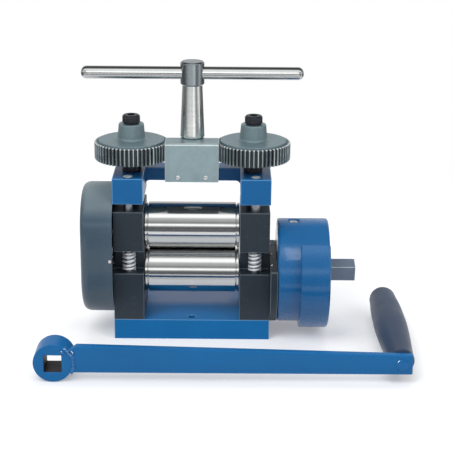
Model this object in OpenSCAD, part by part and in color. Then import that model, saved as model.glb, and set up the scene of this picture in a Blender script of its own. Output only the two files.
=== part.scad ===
// Hand rolling mill for sheet metal: two steel rolls in a bolted frame of stacked
// bearing blocks, an adjusting T handle geared to both screws, a roll gear cover on
// the left, a reduction gearbox on the right and a loose crank that stands in front.
// X runs along the rolls, Y goes back, Z is up. The origin is the centre of the
// underside of the base.

/* [Rolls] */
// Width of the working face of each roll
roll_w = 75; // [60:1:90]
// Diameter of each roll
roll_d = 40; // [33:0.5:48]
// Gap between the two rolls when the mill is closed
roll_gap = 0.5; // [0.3:0.1:1]
// How far the upper roll lifts
lift = 5; // [2:0.5:5]
// Diameter of the roll journals
journal_d = 18; // [14:0.5:19]

/* [Base and frame] */
// Height of the base slab
base_h = 18; // [12:1:25]
// Depth of the base slab, front to back
base_depth = 80; // [66:1:110]
// Diameter of the two mounting holes in the base
mount_hole_d = 7; // [5:0.5:9]
// Distance between the two mounting holes
mount_pitch = 64; // [48:1:66]
// Height of the lower roll axis above the base
axis_rise = 37.5; // [32:0.5:50]
// Width of each bearing block along the rolls
block_w = 26; // [22:0.5:34]
// Depth of each bearing block, front to back
block_depth = 54; // [50:1:70]
// Diameter of the tie pillars
pillar_d = 8; // [6:0.5:9]
// Height of the top casting
yoke_h = 22.4; // [18:0.2:30]
// Depth of the bar that joins the two caps
bridge_depth = 18; // [12:1:24]
// Height of the bar that joins the two caps
bridge_h = 11.4; // [8:0.2:16]

/* [Springs] */
// Wire diameter of the lifting springs
spring_wire = 1.6; // [1:0.1:2]
// Turns in each lifting spring
spring_turns = 5; // [4:1:7]

/* [Screw drive] */
// Teeth on each screw gear
gear_teeth = 54; // [48:2:60]
// Teeth on the pinion of the handle
pinion_teeth = 38; // [32:2:42]
// Thickness of the screw gears
gear_t = 15.3; // [12:0.1:18]
// Diameter of the adjusting screws
screw_d = 12; // [9:0.5:14]
// Height of the gear block
gearbox_block_h = 33.3; // [30:0.1:40]
// Width of the gear block
gearbox_block_w = 45; // [44:0.5:50]

/* [Handle] */
// Height of the tapered stem
stem_h = 44.7; // [30:0.1:60]
// Diameter of the cross bar
bar_d = 10.8; // [8:0.2:12]
// Length of the cross bar
bar_len = 186; // [150:1:224]

/* [Covers] */
// Radius of the two round ends of the roll gear cover
cover_r = 37.2; // [33:0.1:37.4]
// Length of the roll gear cover along the rolls
cover_len = 27.5; // [24:0.5:33]
// Wall of the roll gear cover
cover_wall = 3; // [2:0.5:4]
// Diameter of the reduction gearbox
drum_d = 90; // [74:1:95]
// Length of the gearbox drum
drum_len = 19.4; // [15:0.2:24]
// Length of the gearbox end cover
end_len = 26.2; // [20:0.2:32]
// Side of the square drive shaft
square = 14; // [11:0.5:15]
// How far the square drive shaft stands out
square_len = 23; // [18:1:28]

/* [Crank] */
// Distance from the crank hub to the grip
crank_len = 280.5; // [230:0.5:336]
// Diameter of the crank hub
hub_d = 32; // [28:0.5:36]
// Length of the crank hub
hub_len = 23; // [19:0.5:28]
// Length of the grip
grip_len = 146; // [120:1:176]
// Largest diameter of the grip
grip_d = 28.4; // [24:0.2:30]

/* [Hidden] */
$fn = 96;

// Clearances
fit = 0.05;         // radial clearance of a fixed or threaded fit
running = 0.08;     // radial clearance of a turning or sliding fit
side_gap = 0.5;     // end gap beside the rolls, the moving blocks and the cover
seat_gap = 0.05;    // gap between faces that press on each other

// Rolls
roll_r = roll_d / 2;
groove_w = 0.8;     // groove between the face and the shoulder of a roll
shoulder_w = 2.2;
roll_y = -13;
lower_z = base_h + axis_rise;
upper_z = lower_z + roll_d + roll_gap;
inner_x = roll_w / 2 + groove_w + shoulder_w + side_gap;
outer_x = inner_x + block_w;
journal_r = journal_d / 2;
bush_r = journal_r + 2.5;

// Bearing blocks
block_front = roll_y - block_depth / 2;
block_back = roll_y + block_depth / 2;
pillar_inset = 8;   // pillar axis to the front or rear face of the blocks
pillar_x = inner_x + block_w / 2;
pillar_r = pillar_d / 2;
pillar_y = [block_front + pillar_inset, block_back - pillar_inset];
split_z = (lower_z + upper_z) / 2;
split_gap = 1.5;    // gap between the lower and the upper blocks
lower_top = split_z - split_gap / 2;
upper_bottom = split_z + split_gap / 2;
upper_top = upper_z + 19;
spring_bottom = lower_top - 15;
spring_top = upper_bottom + 3.5;
spring_r = pillar_r + 0.3 + spring_wire / 2;
notch_depth = pillar_inset + spring_r + spring_wire / 2 + 0.4;

// Top casting
yoke_bottom = upper_top + lift + 2;
yoke_top = yoke_bottom + yoke_h;
bridge_front = block_back - bridge_depth;
bridge_bottom = yoke_top - bridge_h;
fillet = 4;
pad_h = 5.6;        // pad on the bridge behind the gear block

// Screw gears and pinion
screw_x = pillar_x - 2.25;
screw_r = screw_d / 2;
gear_module = 2 * screw_x / (gear_teeth + pinion_teeth);
pressure_angle = 20;
backlash = 0.16;    // thinning of each tooth at the pitch circle
gear_bottom = yoke_top + 11.2;
gear_top = gear_bottom + gear_t;
gear_tip_r = gear_module * (gear_teeth / 2 + 1);
pinion_tip_r = gear_module * (pinion_teeth / 2 + 1);
gear_disc_r = gear_tip_r - 3.5;
gear_disc_h = 1.2;
gear_hub_h = 13.8;
gear_boss_r = screw_r + 2.2;
hub_top = gear_top + gear_disc_h + gear_hub_h;
screw_head_gap = 1;
screw_head_h = 6.5;
screw_head_r = screw_r + 1.5;
socket_flats = 6;

// Gear block
gb_bottom = yoke_top - 3.4;
gb_top = gb_bottom + gearbox_block_h;
gb_back = bridge_front;
gb_front = min(gb_back - 33, roll_y - pinion_tip_r - 1.5);
mesh_clear = 0.7;   // room round the gears inside the block
gb_half = gearbox_block_w / 2;
gb_chamfer = 1.3;   // chamfer along the upper front edge
lip_back = roll_y - 3;
lip_boss_r = 10;    // boss that carries the spindle behind the upper lip
pinion_t = gear_t - 4.8;

// Handle
spindle_r = 6;
stem_bottom_r = 10.25;
stem_top_r = 8.4;
handle_hub_r = 10;
handle_hub_h = 20;
handle_chamfer = 1.2;
stem_z = gb_top + 0.3;
bar_z = stem_z + stem_h + handle_hub_h / 2;
collar_h = 1;

// Roll gears and their cover
roll_gear_teeth = 13;
roll_gear_module = (upper_z - lower_z) / roll_gear_teeth;
roll_gear_w = 14;
roll_gear_x = outer_x + 4.5;
cover_round = 9;

// Reduction gearbox
drum_r = drum_d / 2;
plate_t = 6.4;
plate_top = lower_z + 12.5;
drum_x = outer_x + plate_t;
end_x = drum_x + drum_len;
end_tip_x = end_x + end_len;
lobe_step = 5.5;    // how far the swollen part of the end cover stands proud
square_turn = 13.5; // angle at which the square shaft stands at rest
neck_r = journal_r;
plug_r = 4.2;
plug_x = end_x - plug_r - 1;

// Crank, standing on its hub and its grip in front of the base
crank_front = -130;
hub_x = -109.2;
hub_r = hub_d / 2;
socket_w = square + 0.5;
arm_t = 7;
arm_low = 8.2;      // height of the lower edge of the arm at the hub
arm_h_hub = 23.2;
arm_h_grip = 16.4;
arm_past_pin = 8.5; // arm beyond the pin
grip_r = grip_d / 2;
grip_z = max(hub_r + 0.8, grip_r + 0.5);
grip_x = hub_x + crank_len;
grip_y = crank_front + arm_t + 0.5;
pin_r = 4;

// ---- shared shapes ----

// Solid along X from x0 to x1 of a flat shape drawn in Y and Z
module along_x(x0, x1) {
    translate([x0, 0, 0]) rotate([90, 0, 90]) linear_extrude(x1 - x0) children();
}

// Round rod along X
module rod_x(x0, x1, r) {
    translate([x0, roll_y, 0]) rotate([0, 90, 0]) cylinder(h = x1 - x0, r = r);
}

// Round rod along Y
module rod_y(y0, y1, r) {
    translate([0, y0, 0]) rotate([-90, 0, 0]) cylinder(h = y1 - y0, r = r);
}

// Box between two corners
module span(a, b) {
    translate(a) cube(b - a);
}

// Involute of the base circle: polar angle gained at radius r
function roll_off(r, base_r) =
    let (a = acos(min(1, base_r / r))) tan(a) * 180 / PI - a;

// Points of one gear tooth centred on polar angle at, from root to tip and back
function tooth(m, n, at, angle, addendum, dedendum, thin, steps) =
    let (
        pitch_r = m * n / 2,
        base_r = pitch_r * cos(angle),
        root_r = pitch_r - dedendum * m,
        tip_r = pitch_r + addendum * m,
        start_r = max(base_r, root_r),
        half = 90 / n - thin / 2 / pitch_r * 180 / PI + roll_off(pitch_r, base_r),
        radii = [for (i = [0:steps]) start_r + (tip_r - start_r) * i / steps],
        low = half - roll_off(start_r, base_r),
        rising = [for (r = radii) [r, at - half + roll_off(r, base_r)]],
        falling = [for (i = [steps:-1:0]) [radii[i], at + half - roll_off(radii[i], base_r)]]
    )
    concat([[root_r, at - low]], rising, falling, [[root_r, at + low]]);

// Flat outline of a whole gear with a tooth on the X axis, turned by turn degrees
module gear_outline(m, n, turn, angle, addendum, dedendum, thin, steps) {
    points = [for (k = [0:n - 1])
        each tooth(m, n, turn + 360 * k / n, angle, addendum, dedendum, thin, steps)];
    polygon([for (p = points) [p[0] * cos(p[1]), p[0] * sin(p[1])]]);
}

// ---- base and frame ----

module base() {
    color("steelblue") difference() {
        span([-outer_x, -base_depth / 2, 0], [outer_x, base_depth / 2, base_h]);
        for (side = [-1, 1]) {
            translate([0, side * mount_pitch / 2, -1]) cylinder(h = base_h + 2, d = mount_hole_d);
            for (y = pillar_y)
                translate([side * pillar_x, y, base_h - 12]) cylinder(h = 13, r = pillar_r + fit);
        }
    }
}

// Bearing block between two heights, with open notches for the springs
module bearing_block(side, z0, z1, notch0, notch1, axis_z, outer, pillar_gap) {
    difference() {
        span([min(side * inner_x, side * outer), block_front, z0],
             [max(side * inner_x, side * outer), block_back, z1]);
        for (y = pillar_y)
            translate([side * pillar_x, y, z0 - 1]) cylinder(h = z1 - z0 + 2, r = pillar_r + pillar_gap);
        for (y = [block_front - 1, block_back - notch_depth])
            span([side * pillar_x - block_w, y, notch0],
                 [side * pillar_x + block_w, y + notch_depth + 1, notch1]);
        translate([0, 0, axis_z]) rod_x(side * pillar_x - block_w, side * pillar_x + block_w, bush_r + fit);
    }
}

module lower_block(side) {
    color("darkslategray")
        bearing_block(side, base_h, lower_top, spring_bottom, lower_top + 1, lower_z, outer_x, fit);
}

module upper_block(side) {
    color("darkslategray")
        bearing_block(side, upper_bottom, upper_top, upper_bottom - 1, spring_top, upper_z,
                      outer_x - side_gap, running);
}

module lower_block_left() lower_block(-1);
module lower_block_right() lower_block(1);
module upper_block_left() upper_block(-1);
module upper_block_right() upper_block(1);

// Plain sleeve that carries a roll journal
module bush(side, axis_z, outer) {
    x0 = side > 0 ? inner_x : -outer;
    color("peru") translate([0, 0, axis_z]) difference() {
        rod_x(x0, x0 + outer - inner_x, bush_r);
        rod_x(x0 - 1, x0 + block_w + 1, journal_r + running);
    }
}

module lower_bush_left() bush(-1, lower_z, outer_x);
module lower_bush_right() bush(1, lower_z, outer_x);
module upper_bush_left() bush(-1, upper_z, outer_x - side_gap);
module upper_bush_right() bush(1, upper_z, outer_x - side_gap);

// Tie pillar from the base to the top of the casting
module pillar(side, y) {
    color("silver") translate([side * pillar_x, y, base_h - 12])
        cylinder(h = yoke_top - base_h + 12.2, r = pillar_r);
}

module pillar_front_left() pillar(-1, pillar_y[0]);
module pillar_front_right() pillar(1, pillar_y[0]);
module pillar_rear_left() pillar(-1, pillar_y[1]);
module pillar_rear_right() pillar(1, pillar_y[1]);

// Coil spring round a pillar, one tube swept along a helix
module spring(side, y) {
    steps = 14;
    sides = 6;
    rings = spring_turns * steps;
    rise = spring_top - spring_bottom - spring_wire - 0.2;
    wire_r = spring_wire / 2;
    points = [for (i = [0:rings]) let (a = 360 * i / steps, h = rise * i / rings)
        for (j = [0:sides - 1]) let (b = 360 * j / sides, r = spring_r + wire_r * cos(b))
            [r * cos(a), r * sin(a), h + wire_r * sin(b)]];
    walls = [for (i = [0:rings - 1], j = [0:sides - 1]) let (k = (j + 1) % sides)
        each [[i * sides + j, (i + 1) * sides + j, (i + 1) * sides + k],
              [i * sides + j, (i + 1) * sides + k, i * sides + k]]];
    ends = [[for (j = [0:sides - 1]) j], [for (j = [sides - 1:-1:0]) rings * sides + j]];
    color("gainsboro") translate([side * pillar_x, y, spring_bottom + wire_r + 0.1])
        polyhedron(points = points, faces = concat(walls, ends));
}

module spring_front_left() spring(-1, pillar_y[0]);
module spring_front_right() spring(1, pillar_y[0]);
module spring_rear_left() spring(-1, pillar_y[1]);
module spring_rear_right() spring(1, pillar_y[1]);

// Fillet under the bridge at the inner face of one cap, as a flat shape in X and Z
module bridge_fillet(side) {
    translate([side * inner_x, bridge_bottom]) difference() {
        translate([side > 0 ? -fillet : 0, -fillet]) square(fillet);
        translate([-side * fillet, -fillet]) circle(r = fillet);
    }
}

module yoke() {
    color("steelblue") difference() {
        union() {
            for (side = [-1, 1])
                span([side > 0 ? inner_x : -outer_x, block_front, yoke_bottom],
                     [side > 0 ? outer_x : -inner_x, block_back, yoke_top]);
            span([-inner_x - 1, bridge_front, bridge_bottom], [inner_x + 1, block_back, yoke_top]);
            span([-gb_half, bridge_front, yoke_top - 1], [gb_half, block_back, yoke_top + pad_h]);
            translate([0, block_back, 0]) rotate([90, 0, 0]) linear_extrude(bridge_depth)
                for (side = [-1, 1]) bridge_fillet(side);
        }
        for (side = [-1, 1]) {
            for (y = pillar_y)
                translate([side * pillar_x, y, yoke_bottom - 1]) cylinder(h = yoke_h + 2, r = pillar_r + fit);
            translate([side * screw_x, roll_y, yoke_bottom - 1])
                cylinder(h = yoke_h + 2, r = screw_r + running);
        }
    }
}

// ---- screw drive ----

// Casting round the pinion: a front wall, a deep lower lip, and a short upper lip with a
// round boss for the spindle. It is open at the back and where the gears enter
module gear_block() {
    z0 = gear_bottom - mesh_clear;
    z1 = gear_bottom + pinion_t + mesh_clear;
    color("lightgray") difference() {
        union() {
            span([-gb_half, gb_front, gb_bottom], [gb_half, lip_back, gb_top]);
            span([-gb_half, gb_front, gb_bottom], [gb_half, gb_back, z0]);
            translate([0, roll_y, z1]) cylinder(h = gb_top - z1, r = lip_boss_r);
        }
        translate([0, roll_y, z0]) cylinder(h = z1 - z0, r = pinion_tip_r + mesh_clear);
        for (side = [-1, 1]) translate([side * screw_x, roll_y, z0]) {
            cylinder(h = gear_top + mesh_clear - z0, r = gear_tip_r + mesh_clear);
            cylinder(h = gear_top + gear_disc_h + mesh_clear - z0, r = gear_disc_r + mesh_clear);
        }
        translate([0, roll_y, gb_bottom - 1]) cylinder(h = gearbox_block_h + 2, r = spindle_r + running);
        along_x(-gb_half - 1, gb_half + 1) polygon([
            [gb_front - 1, gb_top - gb_chamfer - 1], [gb_front + gb_chamfer + 1, gb_top + 1],
            [gb_front - 1, gb_top + 1]]);
    }
}

module handle_stem() {
    hub_z = stem_z + stem_h;
    color("silver") difference() {
        translate([0, roll_y, 0]) rotate_extrude() polygon([
            [0, gb_bottom - collar_h - 0.3], [spindle_r, gb_bottom - collar_h - 0.3],
            [spindle_r, stem_z], [stem_bottom_r, stem_z], [stem_top_r, hub_z],
            [handle_hub_r - handle_chamfer, hub_z], [handle_hub_r, hub_z + handle_chamfer],
            [handle_hub_r, hub_z + handle_hub_h - handle_chamfer],
            [handle_hub_r - handle_chamfer, hub_z + handle_hub_h], [0, hub_z + handle_hub_h]]);
        translate([0, roll_y, bar_z]) rotate([0, 90, 0])
            cylinder(h = 4 * handle_hub_r, r = bar_d / 2 + fit, center = true);
    }
}

// Cross bar with rounded ends, made by turning its outline about its own axis
module handle_bar() {
    r = bar_d / 2;
    round_end = min(4.6, r - 0.5);
    color("silver") translate([-bar_len / 2, roll_y, bar_z]) rotate([0, 90, 0]) rotate_extrude() union() {
        translate([0, round_end]) square([r, bar_len - 2 * round_end]);
        square([r - round_end, bar_len]);
        for (z = [round_end, bar_len - round_end]) intersection() {
            translate([r - round_end, z]) circle(r = round_end);
            square([r, bar_len]);
        }
    }
}

module handle_pinion() {
    color("dimgray") translate([0, roll_y, gear_bottom]) linear_extrude(pinion_t) difference() {
        gear_outline(gear_module, pinion_teeth, 0, pressure_angle, 1, 1.25, backlash, 3);
        circle(r = spindle_r + fit);
    }
}

// Washer that keeps the spindle in the gear block
module handle_collar() {
    color("gainsboro") translate([0, roll_y, gb_bottom - 0.2 - collar_h]) difference() {
        cylinder(h = collar_h, r = spindle_r + 2);
        translate([0, 0, -1]) cylinder(h = collar_h + 2, r = spindle_r + fit);
    }
}

// Large gear on an adjusting screw, with its raised disc, tapered hub and lower boss
module screw_gear(side) {
    color("dimgray") translate([side * screw_x, roll_y, 0]) difference() {
        union() {
            translate([0, 0, gear_bottom]) linear_extrude(gear_t)
                gear_outline(gear_module, gear_teeth, 180 / gear_teeth, pressure_angle, 1, 1.25, backlash, 3);
            rotate_extrude() polygon([
                [0, yoke_top + 0.3], [gear_boss_r, yoke_top + 0.3], [gear_boss_r, gear_bottom + 1],
                [gear_disc_r, gear_bottom + 1], [gear_disc_r, gear_top + gear_disc_h],
                [screw_r + 5.9, gear_top + gear_disc_h], [screw_r + 4.6, hub_top], [0, hub_top]]);
        }
        translate([0, 0, yoke_top - 1]) cylinder(h = hub_top - yoke_top + 2, r = screw_r + running);
    }
}

module screw_gear_left() screw_gear(-1);
module screw_gear_right() screw_gear(1);

// Adjusting screw with a hexagon socket in its black head
module adjusting_screw(side) {
    head_z = hub_top + screw_head_gap;
    color("black") translate([side * screw_x, roll_y, 0]) difference() {
        rotate_extrude() polygon([
            [0, upper_top + seat_gap], [screw_r - 1, upper_top + seat_gap],
            [screw_r, upper_top + 1 + seat_gap], [screw_r, head_z], [screw_head_r, head_z],
            [screw_head_r, head_z + screw_head_h - 1],
            [screw_head_r - 1, head_z + screw_head_h], [0, head_z + screw_head_h]]);
        translate([0, 0, head_z + screw_head_h - 4])
            cylinder(h = 5, d = socket_flats / cos(30), $fn = 6);
    }
}

module screw_left() adjusting_screw(-1);
module screw_right() adjusting_screw(1);

// ---- rolls and roll gears ----

// One roll: working face, grooves, shoulders and both journals, from x0 to x1
module roll(axis_z, x0, x1) {
    half = roll_w / 2;
    color("silver") translate([0, 0, axis_z]) {
        rod_x(-half, half, roll_r);
        rod_x(-half - groove_w, half + groove_w, roll_r - 2);
        for (side = [-1, 1]) {
            a = side * (half + groove_w);
            b = side * (half + groove_w + shoulder_w);
            rod_x(min(a, b), max(a, b), roll_r - 0.6);
        }
        rod_x(x0, x1, journal_r);
    }
}

module upper_roll() roll(upper_z, -roll_gear_x - roll_gear_w - 1, outer_x - side_gap);
module lower_roll() roll(lower_z, -roll_gear_x - roll_gear_w - 1, end_x - 4);

// Deep-toothed gear that keeps its mesh while the upper roll lifts
module roll_gear(axis_z) {
    color("gray") translate([0, roll_y, axis_z]) along_x(-roll_gear_x - roll_gear_w, -roll_gear_x)
        difference() {
            gear_outline(roll_gear_module, roll_gear_teeth, 90, 25, 0.9, 1.3, 1.2, 4);
            circle(r = journal_r + fit);
        }
}

module upper_roll_gear() roll_gear(upper_z);
module lower_roll_gear() roll_gear(lower_z);

// ---- roll gear cover ----

// Half of the cover's section: radius r, length len, outer corner rounded
module cover_half(r, len, round_r) {
    square([r, len - round_r]);
    square([r - round_r, len]);
    translate([r - round_r, len - round_r]) intersection() {
        circle(r = round_r);
        square(round_r);
    }
}

// Long dome: two turned ends joined by a straight middle, growing towards -X from x0
module long_dome(x0, r, len, round_r) {
    for (z = [lower_z, upper_z])
        translate([x0, roll_y, z]) rotate([0, -90, 0]) rotate_extrude() cover_half(r, len, round_r);
    translate([x0, roll_y, lower_z]) rotate([0, 0, 90]) linear_extrude(upper_z - lower_z)
        for (flip = [0, 1]) mirror([flip, 0]) cover_half(r, len, round_r);
}

// Hollow cover, open towards the bearing blocks that it is fastened to
module roll_gear_cover() {
    color("slategray") difference() {
        long_dome(-outer_x, cover_r, cover_len, cover_round);
        long_dome(1 - outer_x, cover_r - cover_wall, cover_len - cover_wall + 1, cover_round - cover_wall);
    }
}

// ---- reduction gearbox ----

module gearbox_plate() {
    color("black") difference() {
        translate([0, 0, lower_z]) rod_x(outer_x, drum_x, drum_r);
        span([outer_x - 1, roll_y - drum_r - 1, plate_top], [drum_x + 1, roll_y + drum_r + 1, plate_top + drum_r]);
        translate([0, 0, lower_z]) rod_x(outer_x - 1, drum_x + 1, journal_r + running);
    }
}

module gearbox_drum() {
    color("royalblue") difference() {
        translate([0, 0, lower_z]) rod_x(drum_x, end_x, drum_r);
        translate([0, 0, lower_z]) rod_x(drum_x - 1, end_x - 3, journal_r + running);
        translate([plug_x, roll_y, lower_z + drum_r - 6]) cylinder(h = 10, r = plug_r + fit);
    }
}

// Section of the end cover for turning: slightly coned face and a rounded rim
module end_section(r) {
    rim = 2;
    cone = 1.2;
    polygon([[0, 0], [r, 0], [r, end_len - cone - rim], [r - rim, end_len - cone], [0, end_len]]);
    translate([r - rim, end_len - cone - rim]) circle(r = rim);
}

// End cover: round at the top, swollen by lobe_step from 45 degrees above the middle down
module gearbox_cover() {
    color("royalblue") difference() {
        translate([end_x, roll_y, lower_z]) rotate([0, 90, 0]) {
            rotate_extrude() intersection() {
                end_section(drum_r);
                square([drum_r, end_len]);
            }
            rotate([0, 0, -135]) rotate_extrude(angle = 270) intersection() {
                end_section(drum_r + lobe_step);
                square([drum_r + lobe_step, end_len]);
            }
        }
        translate([0, 0, lower_z]) rod_x(end_x + 2, end_tip_x + 1, neck_r + running);
    }
}

module oil_plug() {
    color("silver") translate([plug_x, roll_y, lower_z + drum_r - 6])
        difference() {
            cylinder(h = 5.2, r = plug_r);
            translate([0, 0, 3.6]) span([-plug_r, -0.6, 0], [plug_r, 0.6, 2]);
        }
}

// Square drive shaft with the round neck that turns in the end cover
module drive_shaft() {
    color("dimgray") {
        translate([0, 0, lower_z]) rod_x(end_x + 2.2, end_tip_x + 0.5, neck_r);
        translate([0, roll_y, lower_z]) along_x(end_tip_x + 0.5, end_tip_x + square_len)
            rotate(square_turn) square(square, center = true);
    }
}

// ---- crank ----

module crank_hub() {
    color("royalblue") translate([hub_x, 0, hub_r]) difference() {
        rod_y(crank_front, crank_front + hub_len, hub_r);
        span([-socket_w / 2, crank_front - 1, -socket_w / 2],
             [socket_w / 2, crank_front + hub_len + 1, socket_w / 2]);
    }
}

// Flat tapered arm, cut to the hub at one end and square at the other
module crank_arm() {
    start_x = hub_x + 0.75 * hub_r;
    end_x = grip_x + arm_past_pin;
    end_z = grip_z - arm_h_grip / 2;
    color("royalblue") translate([0, crank_front + arm_t, 0]) rotate([90, 0, 0]) linear_extrude(arm_t)
        difference() {
            polygon([[start_x, arm_low], [end_x, end_z], [end_x, end_z + arm_h_grip],
                     [start_x, arm_low + arm_h_hub]]);
            translate([hub_x, hub_r]) circle(r = hub_r);
            translate([grip_x, grip_z]) circle(r = pin_r + fit);
        }
}

// Pin riveted in the arm, on which the grip turns
module crank_pin() {
    color("silver") translate([grip_x, 0, grip_z]) {
        rod_y(crank_front - 1, crank_front + arm_t + grip_len - 10, pin_r);
        rod_y(crank_front - 1.2, crank_front - 0.02, pin_r + 1.6);
    }
}

// Turned grip: narrow at the arm, widest in the middle, round at the tip
module crank_grip() {
    base_r = 0.75 * grip_r;
    tip_r = 0.82 * grip_r;
    tip_round = 9.6;
    color("darkslategray") translate([grip_x, grip_y, grip_z]) rotate([-90, 0, 0]) difference() {
        rotate_extrude() union() {
            polygon([
                [0, 0], [base_r - 1, 0], [base_r, 1], [0.8 * grip_r, 0.12 * grip_len],
                [0.92 * grip_r, 0.3 * grip_len], [grip_r, 0.5 * grip_len],
                [0.95 * grip_r, 0.75 * grip_len], [tip_r, grip_len - tip_round],
                [tip_r - tip_round, grip_len], [0, grip_len]]);
            intersection() {
                translate([tip_r - tip_round, grip_len - tip_round]) circle(r = tip_round);
                square([tip_r, grip_len]);
            }
        }
        translate([0, 0, -1]) cylinder(h = grip_len - 8, r = pin_r + running);
    }
}

base();
lower_block_left();
lower_block_right();
lower_bush_left();
lower_bush_right();
pillar_front_left();
pillar_front_right();
pillar_rear_left();
pillar_rear_right();
yoke();
gear_block();
roll_gear_cover();
gearbox_plate();
gearbox_drum();
gearbox_cover();
oil_plug();
upper_block_left();
upper_block_right();
upper_bush_left();
upper_bush_right();
spring_front_left();
spring_front_right();
spring_rear_left();
spring_rear_right();
upper_roll();
upper_roll_gear();
lower_roll();
lower_roll_gear();
drive_shaft();
handle_stem();
handle_bar();
handle_pinion();
handle_collar();
screw_gear_left();
screw_gear_right();
screw_left();
screw_right();
crank_hub();
crank_arm();
crank_pin();
crank_grip();
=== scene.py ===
import math
from collections import namedtuple

import bmesh
import bpy
import numpy as np
from mathutils import Matrix, Vector


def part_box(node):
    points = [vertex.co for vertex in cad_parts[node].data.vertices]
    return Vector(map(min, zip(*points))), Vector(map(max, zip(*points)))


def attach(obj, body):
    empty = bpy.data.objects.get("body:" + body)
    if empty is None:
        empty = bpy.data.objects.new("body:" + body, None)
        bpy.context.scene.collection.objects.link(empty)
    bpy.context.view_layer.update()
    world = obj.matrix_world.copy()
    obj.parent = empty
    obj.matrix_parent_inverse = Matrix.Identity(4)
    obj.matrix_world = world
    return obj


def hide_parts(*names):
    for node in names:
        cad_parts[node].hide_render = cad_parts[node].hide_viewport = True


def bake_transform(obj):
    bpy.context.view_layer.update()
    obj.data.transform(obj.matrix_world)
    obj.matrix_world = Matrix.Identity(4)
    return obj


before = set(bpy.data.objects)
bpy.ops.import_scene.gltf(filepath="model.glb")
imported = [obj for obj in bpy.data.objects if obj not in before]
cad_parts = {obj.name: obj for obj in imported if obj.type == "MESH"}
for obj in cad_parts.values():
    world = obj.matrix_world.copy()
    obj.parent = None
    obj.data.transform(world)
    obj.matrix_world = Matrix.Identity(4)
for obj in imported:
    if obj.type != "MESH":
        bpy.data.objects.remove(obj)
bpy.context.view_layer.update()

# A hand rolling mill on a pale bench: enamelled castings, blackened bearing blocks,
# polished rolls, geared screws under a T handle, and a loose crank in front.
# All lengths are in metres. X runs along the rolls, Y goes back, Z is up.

MM = 0.001
DEGREE = math.pi / 180

SIDES = ("left", "right")
LEVELS = ("upper", "lower")
PILLAR_PLACES = ("front_left", "front_right", "rear_left", "rear_right")


# ---------------------------------------------------------------- sizes from the frame

def corners(node):
    """Lowest and highest corner of a CAD node as two arrays."""
    low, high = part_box(node)
    return np.array(low), np.array(high)


def middle(node):
    """Centre of the box of a CAD node."""
    low, high = corners(node)
    return (low + high) / 2


# A round node: its start and end along its axis, its radius, and its centre line as a point
# with nothing along the axis
Extent = namedtuple("Extent", "start end r centre")


def extent(node, axis):
    """Extent of a round CAD node."""
    low, high = corners(node)
    along = "XYZ".index(axis)
    across = 2 if axis == "X" else 0
    centre = middle(node)
    centre[along] = 0
    return Extent(low[along], high[along], (high[across] - low[across]) / 2, centre)


LOWER_AXIS = extent("lower_roll", "X").centre
UPPER_AXIS = extent("upper_roll", "X").centre
FACE_HALF = 37.5 * MM       # half the width of a roll's working face
GROOVE = 0.8 * MM           # groove beside the working face
SHOULDER = 2.2 * MM         # width of the shoulder past the groove
JOURNAL_R = 9 * MM
SPINDLE_R = 6 * MM
GEAR_MODULE = 1.125 * MM    # of the handle's pinion and both screw gears
ARM_AT_HUB = (8.2 * MM, 31.4 * MM)    # bottom and top of the crank's arm at each end
ARM_AT_GRIP = (8.6 * MM, 25 * MM)
SOCKET_HALF = 7.25 * MM     # half the width of the crank's square socket


# ---------------------------------------------------------------- shapes

# For each axis: its direction, and the two directions that a turned radius swings through
AXES = {
    "X": np.array([[1, 0, 0], [0, 1, 0], [0, 0, 1]], float),
    "Y": np.array([[0, 1, 0], [0, 0, 1], [1, 0, 0]], float),
    "Z": np.array([[0, 0, 1], [1, 0, 0], [0, 1, 0]], float),
}


def full_turn(steps):
    """Angles of a full turn in equal steps, the last one left open."""
    return np.linspace(0, 2 * math.pi, steps, endpoint=False)


def eased(profile, radius, steps=3):
    """Open profile with each inner corner P rounded: the curve runs from P + r * back to
    P + r * ahead as (1-t)^2 start + 2t(1-t) P + t^2 end, where r is held to a share of the
    shorter stretch beside P. One more point, a margin out from each end of the curve, keeps
    the straight stretches straight when they are shaded smooth."""
    farthest_share, margin = 0.3, 1.6
    p = np.asarray(profile, float)
    back, ahead = p[:-2] - p[1:-1], p[2:] - p[1:-1]
    back_len = np.linalg.norm(back, axis=1, keepdims=True)
    ahead_len = np.linalg.norm(ahead, axis=1, keepdims=True)
    wanted = np.broadcast_to(np.asarray(radius, float).reshape(-1, 1), back_len.shape)
    reach = np.minimum(wanted, farthest_share * np.minimum(back_len, ahead_len))
    corner = p[1:-1, None]
    first = (back / back_len * reach)[:, None]
    last = (ahead / ahead_len * reach)[:, None]
    t = np.linspace(0, 1, steps + 1)[None, :, None]
    curve = (1 - t) ** 2 * (corner + first) + 2 * t * (1 - t) * corner + t ** 2 * (corner + last)
    rows = np.concatenate([corner + margin * first, curve, corner + margin * last], axis=1)
    return np.concatenate([p[:1], rows.reshape(-1, 2), p[-1:]])


def rounded(face, rim, corner, steps, way):
    """Profile rows of a quarter circle between a rim and an end face, which closes the start
    of the axis for way -1 and its end for way 1.
    Row = (face - way * corner * (1 - sin b), rim - corner * (1 - cos b))."""
    bend = np.linspace(0, math.pi / 2, steps)[::way]
    return [(face - way * corner * (1 - math.sin(b)), rim - corner * (1 - math.cos(b))) for b in bend]


def rod(start, end, r, soft):
    """Profile of a plain rod with softened rims."""
    return eased([(start, 0), (start, r), (end, r), (end, 0)], soft)


def sleeve(start, end, inner, outer, soft):
    """Closed profile of a sleeve with softened rims, from the middle of its bore and back."""
    mid = (start + end) / 2
    loop = [(mid, inner), (start, inner), (start, outer), (end, outer), (end, inner), (mid, inner)]
    return eased(loop, soft)


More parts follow.
